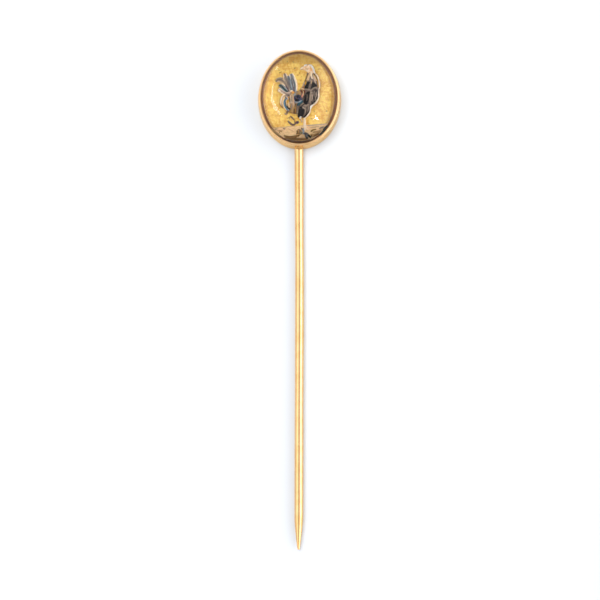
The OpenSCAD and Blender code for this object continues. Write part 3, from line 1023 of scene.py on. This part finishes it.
def cock_leg():
    picture = Picture(LEG_LAYERS)
    picture.bed("earth", 0.05, [
        (-4, -70), (-0.6, -69), (4, -70.6), (5.6, -76), (4.4, -80), (-1, -81), (-5, -79.4), (-4.6, -75)
    ], steps=3, rings=4)
    draw(picture, [
        ("cream", 2.6, [(14, -59), (14, -66), (12, -72)]),
        ("sand", 1.9, [(4.6, -45), (5, -49), (6.4, -54)]),
        ("cream", 2.7, [(11.4, -42), (12.2, -54), (11.4, -67)]),
        ("white", 1, [(11.4, -48), (12, -57), (11, -63.6)]),
        ("tan", 1.5, [(-3.4, -70), (-1, -73), (-2.6, -77)]),
        ("brown", 1, [(-5.6, -72), (-4.6, -76), (-6, -80.6)]),
        ("tan", 1.4, [(-3.6, -79.4), (0, -80.4), (4, -80)]),
        ("mauve", 1, [(-0.6, -69.4), (1.4, -72.4), (0.6, -77)]),
        ("mauve", 1.5, [(4.4, -66), (6, -67.4), (7, -70.4)]),
        ("steel", 2.1, [(7.8, -67), (9.4, -73), (9.2, -80.6)]),
        ("moss", 1.9, [(1.6, -75.4), (4.6, -77), (7.4, -77.6)]),
        ("slate", 2.5, [(8.4, -77.6), (15, -78.8), (21.4, -81)]),
        ("slate", 2.8, [(13.2, -80), (15.4, -84.6), (17.8, -89)]),
        ("steel", 0.9, [(15.4, -81), (17.4, -83), (18.6, -85.6)]),
        ("green_black", 1.9, [(13.4, -84.6), (16.4, -87.6), (19.8, -89.4)]),
        ("green_black", 2.4, [(18.6, -81.4), (22.8, -84.6), (26.4, -87.2)])
    ])
    picture.finish("cock_leg", "painted_leg")


def cock_foot():
    picture = Picture()
    picture.bed("plum", 0.08, [
        (-7.4, -53), (-5, -50.8), (-1.4, -51.2), (-0.4, -54), (-2.6, -57), (-6.4, -56.8)
    ], steps=3, rings=4)
    draw(picture, [
        ("tan", 0.9, [(-19.6, -41), (-21.4, -44.6), (-21.8, -48)]),
        ("mauve", 1.8, [(-19.6, -39.8), (-15, -44), (-9.8, -49.6)]),
        ("mauve", 2.5, [(-24.8, -50.2), (-20.4, -55), (-15.4, -58.8), (-10.4, -58.4), (-6.4, -53.6)]),
        ("plum", 1.4, [(-17.4, -58), (-13.4, -59.6), (-9.4, -58)]),
        ("mauve", 1.1, [(-10, -50.4), (-9, -55), (-7.2, -58)])
    ])
    picture.finish("cock_foot", "painted_foot")


# The ground's upper edge on the drawing, from left to right.
HORIZON = [
    (-86, -68), (-58.8, -66.7), (-36, -65), (-16, -63.4), (12.3, -60.1), (40, -58), (68, -56), (90, -55)
]
# The ground stops at this share of the rim's half width, and each of its columns is at least this long.
GROUND_REACH = 0.995
LEAST_COLUMN = 0.01


def ground():
    """The strip of earth: a wavy bed that reaches the crystal's edge, with brush strokes on it."""
    picture = Picture()
    columns = 96
    rows = 20
    middle, half = seen_oval(*OUTER_SHADOW_RIM)
    edge = curve_through(HORIZON, 8)
    left = edge[0].x
    right = edge[-1].x
    for deck in ("top", "foot"):
        for column in range(columns + 1):
            u = left + (right - left) * column / columns
            v = next(
                a.y + (b.y - a.y) * (u - a.x) / (b.x - a.x) for a, b in zip(edge, edge[1:]) if u <= b.x
            )
            high = behind_dome(u, v, PAINT_Z)
            reach = half.x * GROUND_REACH
            x = min(max(high.x, middle.x - reach), middle.x + reach)
            low_y = middle.y - half.y * sqrt(1 - ((x - middle.x) / half.x) ** 2)
            high_y = max(high.y, low_y + LEAST_COLUMN)
            for row in range(rows + 1):
                t = row / rows
                point = Vector((x, high_y + (low_y - high_y) * t, PAINT_Z - SUNK))
                if deck == "top":
                    lump = noise.noise(Vector((x * 0.9, point.y * 2.2, 4)))
                    point.z += 0.05 + 0.05 * t + 0.03 * lump
                picture.points.append(point)
                picture.uvs.append((x / 3, point.y))
        picture.layers += 1
    size = (columns + 1) * (rows + 1)
    faces = []

    def spot(deck, column, row):
        return deck * size + column * (rows + 1) + row

    def side(first, second, turn):
        """The face between the top and the foot, over two neighbours on the strip's edge."""
        corners = [spot(0, *first), spot(0, *second), spot(1, *second), spot(1, *first)]
        faces.append(tuple(corners[::turn]))

    for column in range(columns):
        for row in range(rows):
            corners = [(column, row), (column, row + 1), (column + 1, row + 1), (column + 1, row)]
            faces.append(tuple(spot(0, *corner) for corner in corners))
            faces.append(tuple(spot(1, *corner) for corner in reversed(corners)))
        side((column, 0), (column + 1, 0), 1)
        side((column, rows), (column + 1, rows), -1)
    for row in range(rows):
        side((0, row), (0, row + 1), 1)
        side((columns, row), (columns, row + 1), -1)
    picture.close(faces, "beige")
    draw(picture, [
        ("tan", 3, [(-60, -69.4), (-51, -76), (-41, -84)]),
        ("tan", 2.4, [(-54, -69), (-44, -71), (-37, -75.6)]),
        ("earth", 1.2, [(-45, -73.6), (-42.6, -77), (-41, -80)]),
        ("sand", 1, [(-60, -66.4), (-40, -65), (-22, -63.2), (-4, -62)]),
        ("pink_grey", 1, [(4, -62), (24, -60.6), (44, -59), (60, -57.4)]),
        ("mauve", 1.6, [(-35.4, -67), (-33, -68), (-30.8, -67.2)]),
        ("sand", 2, [(16, -66), (30, -65), (44, -63)]),
        ("earth", 3, [(-35, -83), (-24, -86), (-13, -86.4), (0, -84)]),
        ("earth", 3, [(-33, -87.4), (-18, -90.6), (0, -91.4), (19, -90.6)]),
        ("tan", 2.4, [(-26, -92), (-8, -94.4), (10, -94.6), (24, -91.6)]),
        ("brown", 1.4, [(-34, -82), (-23, -85), (-12, -84.4), (2, -82)]),
        ("brown", 1.3, [(-30, -88), (-18, -89.4), (-6, -89)]),
        ("tan", 1, [(-27, -86.6), (-20, -87.4), (-14, -86.8)]),
        ("peach", 2.8, [(13, -62.4), (19, -65), (25, -70)]),
        ("cream", 1.4, [(11, -66), (15, -66.6), (21, -69.6)]),
        ("peach", 1.8, [(-52, -70.4), (-40, -70), (-30, -72)]),
        ("peach", 2, [(-24, -68), (-16, -70), (-10, -74)]),
        ("peach", 1.6, [(30, -78.6), (36, -78), (42, -74.4)]),
        ("sand", 2.2, [(-5, -87.6), (5, -86.8), (13, -87.8)]),
        ("brown", 1.6, [(-26, -93), (-8, -95.6), (8, -95.6), (22, -92.8)]),
        ("tan", 2.5, [(30, -76), (40, -75), (49, -70)]),
        ("tan", 1.8, [(23, -80.6), (34, -80), (45, -76)]),
        ("earth", 1.5, [(28, -84.4), (36, -82.8), (43, -78.6)]),
        ("brown", 1.3, [(26.4, -80.6), (27.4, -83), (26.6, -86)]),
        ("olive", 1.6, [(25.6, -75), (29, -71.4), (37, -69)]),
        ("mauve", 1.2, [(44, -67.8), (48.6, -65.6), (54, -63.4)]),
        ("sand", 1.4, [(18, -91.4), (26, -89.8), (35, -86)]),
        ("green_black", 2.7, [(44.6, -83), (51, -77.6), (57, -70)]),
        ("green_black", 1.8, [(52, -70.4), (57, -66), (62, -60.4)])
    ])
    picture.finish("ground_strip", "painted_ground")


def specks():
    """Small brown spots in the gilding."""
    picture = Picture()
    for u, v, size in SPECKS:
        reach = size * 0.7
        picture.stroke("brown", size * 0.75, 0.02, [(u - reach, v), (u, v + 0.2), (u + reach, v)])
    picture.finish("gilding_specks", "backing_plate")


# The set

def aim_matrix(position, target):
    """A place and turn that look from position to target with +Y upward."""
    back = (position - target).normalized()
    right = Vector((0, 1, 0)).cross(back).normalized()
    up = back.cross(right)
    turn = Matrix((right, up, back)).transposed().to_4x4()
    return Matrix.Translation(position) @ turn


def camera():
    data = bpy.data.cameras.new("camera")
    distance = (CAMERA_AT - CAMERA_AIM).length
    data.sensor_width = SENSOR_W
    data.lens = SENSOR_W * distance / VIEW_W
    data.clip_start = 0.01
    eye = bpy.data.objects.new("camera", data)
    eye.matrix_world = aim_matrix(CAMERA_AT * MM, CAMERA_AIM * MM)
    bpy.context.scene.collection.objects.link(eye)
    bpy.context.scene.camera = eye


# The soft box makes this grey show as white.
FLOOR_COLOUR = (0.48, 0.5, 0.53, 1)


def floor():
    """A plain pale floor, a hair below the part."""
    half = 1500
    drop = 0.01
    mesh = bpy.data.meshes.new("floor")
    corners = [(-half, -half), (half, -half), (half, half), (-half, half)]
    mesh.from_pydata([Vector((x, y, -drop)) * MM for x, y in corners], [], [(0, 1, 2, 3)])
    material, _, _ = new_material("floor", Base_Color=FLOOR_COLOUR, Roughness=0.7)
    mesh.materials.append(material)
    sheet = bpy.data.objects.new("floor", mesh)
    bpy.context.scene.collection.objects.link(sheet)


# Brightness of the light tent by height: the sine of the height, then the brightness.
TENT = [(0, 0.55), (0.2, 0.75), (0.42, 1.3), (0.6, 1.6)]
TENT_TOP = 3
# The bright panel on the right, by how far a direction leans to the right: where it starts, is full, starts
# to fade and ends.
PANEL = (0.6, 0.68, 0.93, 0.98)
PANEL_LIGHT = 1.85
# The opening for the camera, by how far a direction leans across and along: middle, half sizes, and how
# much of the light it takes away.
HOLE_AT = Vector((0.04, -0.25))
HOLE_HALF = Vector((0.44, 0.8))
HOLE_DARK = 0.55
# The tent is darker towards the pin's point: two leans of a direction along the pin, and the share of the
# light at each.
NEAR_END = (-0.85, -0.4, 0.58, 1)

# The soft box over the table: its place, its width and its brightness.
OVERHEAD_AT = Vector((-130, 110, 500))
OVERHEAD_W = 320
OVERHEAD_LIGHT = 8.6

# Small lamps that show as glints in the dome: the ways to their two ends, width, brightness.
LAMP_RANGE = 400
LAMPS = {
    "left_strip_top": ((-0.822, 0.424, 0.38), (-0.9, 0.25, 0.345), 36, 9),
    "left_strip_middle": ((-0.9, 0.25, 0.345), (-0.9, -0.03, 0.434), 52, 12),
    "left_strip_bottom": ((-0.9, -0.03, 0.434), (-0.78, -0.24, 0.575), 60, 15),
    "left_strip_foot": ((-0.78, -0.24, 0.575), (-0.663, -0.352, 0.66), 38, 11),
    "wedge_foot": ((0.54, -0.487, 0.686), (0.72, -0.483, 0.498), 18, 44),
    "wedge_middle": ((0.555, -0.452, 0.698), (0.68, -0.45, 0.578), 18, 44),
    "wedge_top": ((0.572, -0.415, 0.707), (0.632, -0.413, 0.656), 16, 44),
    "top_spot": ((-0.655, 0.755, 0.04), (-0.72, 0.69, 0.065), 44, 8)
}


def tent():
    """A soft light tent with a darker opening over the pin and a bright panel on the right."""
    world = bpy.data.worlds.new("tent")
    bpy.context.scene.world = world
    world.use_nodes = True
    tree = world.node_tree
    direction = add_node(tree, "ShaderNodeTexCoord").outputs["Generated"]
    parts = add_node(tree, "ShaderNodeSeparateXYZ", Vector=direction)
    ramp = add_node(tree, "ShaderNodeValToRGB", Fac=parts.outputs["Z"])
    ramp.color_ramp.interpolation = "EASE"
    stops = ramp.color_ramp.elements
    while len(stops) < len(TENT):
        stops.new(0.5)
    for stop, (height, value) in zip(stops, TENT):
        stop.position = height
        share = value / TENT_TOP
        stop.color = (share, share, share, 1)
    base = combine(tree, "MULTIPLY", ramp.outputs["Color"], TENT_TOP)
    near, full, fade, far = PANEL
    panel = combine(
        tree, "MULTIPLY", spread(tree, parts.outputs["X"], near, full),
        spread(tree, parts.outputs["X"], fade, far, 1, 0)
    )
    light = combine(tree, "ADD", base, combine(tree, "MULTIPLY", panel, PANEL_LIGHT))
    centred = add_node(
        tree, "ShaderNodeMapping", Vector=direction,
        Location=(-HOLE_AT.x / HOLE_HALF.x, -HOLE_AT.y / HOLE_HALF.y, 0),
        Scale=(1 / HOLE_HALF.x, 1 / HOLE_HALF.y, 0)
    ).outputs["Vector"]
    reach = add_node(tree, "ShaderNodeVectorMath", {"operation": "LENGTH"}, Vector=centred).outputs["Value"]
    above = spread(tree, parts.outputs["Z"], 0, 0.2)
    hole = combine(tree, "MULTIPLY", spread(tree, reach, 0.9, 1.06, HOLE_DARK, 0), above)
    light = combine(tree, "MULTIPLY", light, combine(tree, "SUBTRACT", 1, hole))
    light = combine(tree, "MULTIPLY", light, spread(tree, parts.outputs["Y"], *NEAR_END))
    background = tree.nodes["Background"]
    background.inputs["Color"].default_value = (1, 1, 1, 1)
    tree.links.new(light, background.inputs["Strength"])


def overhead():
    """The soft box over the table. It lights the floor and the paint, and shows in no reflection."""
    data = bpy.data.lights.new("overhead", "AREA")
    data.shape = "SQUARE"
    data.size = OVERHEAD_W * MM
    data.energy = OVERHEAD_LIGHT * pi * data.size ** 2
    lamp = bpy.data.objects.new("overhead", data)
    lamp.location = OVERHEAD_AT * MM
    lamp.visible_camera = False
    lamp.visible_glossy = False
    lamp.visible_transmission = False
    bpy.context.scene.collection.objects.link(lamp)


def lamps():
    """Strip lamps at their places round the head, seen only as glints in the dome."""
    head = Vector((0, HEAD_Y, stone_high.z))
    lit = bpy.data.collections.new("lit_by_lamps")
    lit.objects.link(bpy.data.objects["rock_crystal_dome"])
    for name, (way_a, way_b, width, brightness) in LAMPS.items():
        start = head + Vector(way_a).normalized() * LAMP_RANGE
        end = head + Vector(way_b).normalized() * LAMP_RANGE
        middle = (start + end) / 2
        along = (end - start).normalized()
        back = (middle - head).normalized()
        aside = back.cross(along).normalized()
        data = bpy.data.lights.new(name, "AREA")
        data.shape = "RECTANGLE"
        data.size = (end - start).length * MM
        data.size_y = width * MM
        data.energy = brightness * pi * data.size * data.size_y
        lamp = bpy.data.objects.new(name, data)
        turn = Matrix((along, aside, along.cross(aside))).transposed().to_4x4()
        lamp.matrix_world = Matrix.Translation(middle * MM) @ turn
        lamp.visible_camera = False
        lamp.visible_diffuse = False
        lamp.visible_transmission = False
        lamp.light_linking.receiver_collection = lit
        bpy.context.scene.collection.objects.link(lamp)


def build():
    collet()
    pin()
    solder()
    crystal()
    gilt_plate()
    specks()
    ground()
    cock_tail()
    cock_saddle()
    cock_body()
    cock_wing()
    cock_head()
    cock_leg()
    cock_foot()
    camera()
    floor()
    tent()
    overhead()
    lamps()
    bpy.context.scene.view_settings.view_transform = "Standard"


build()
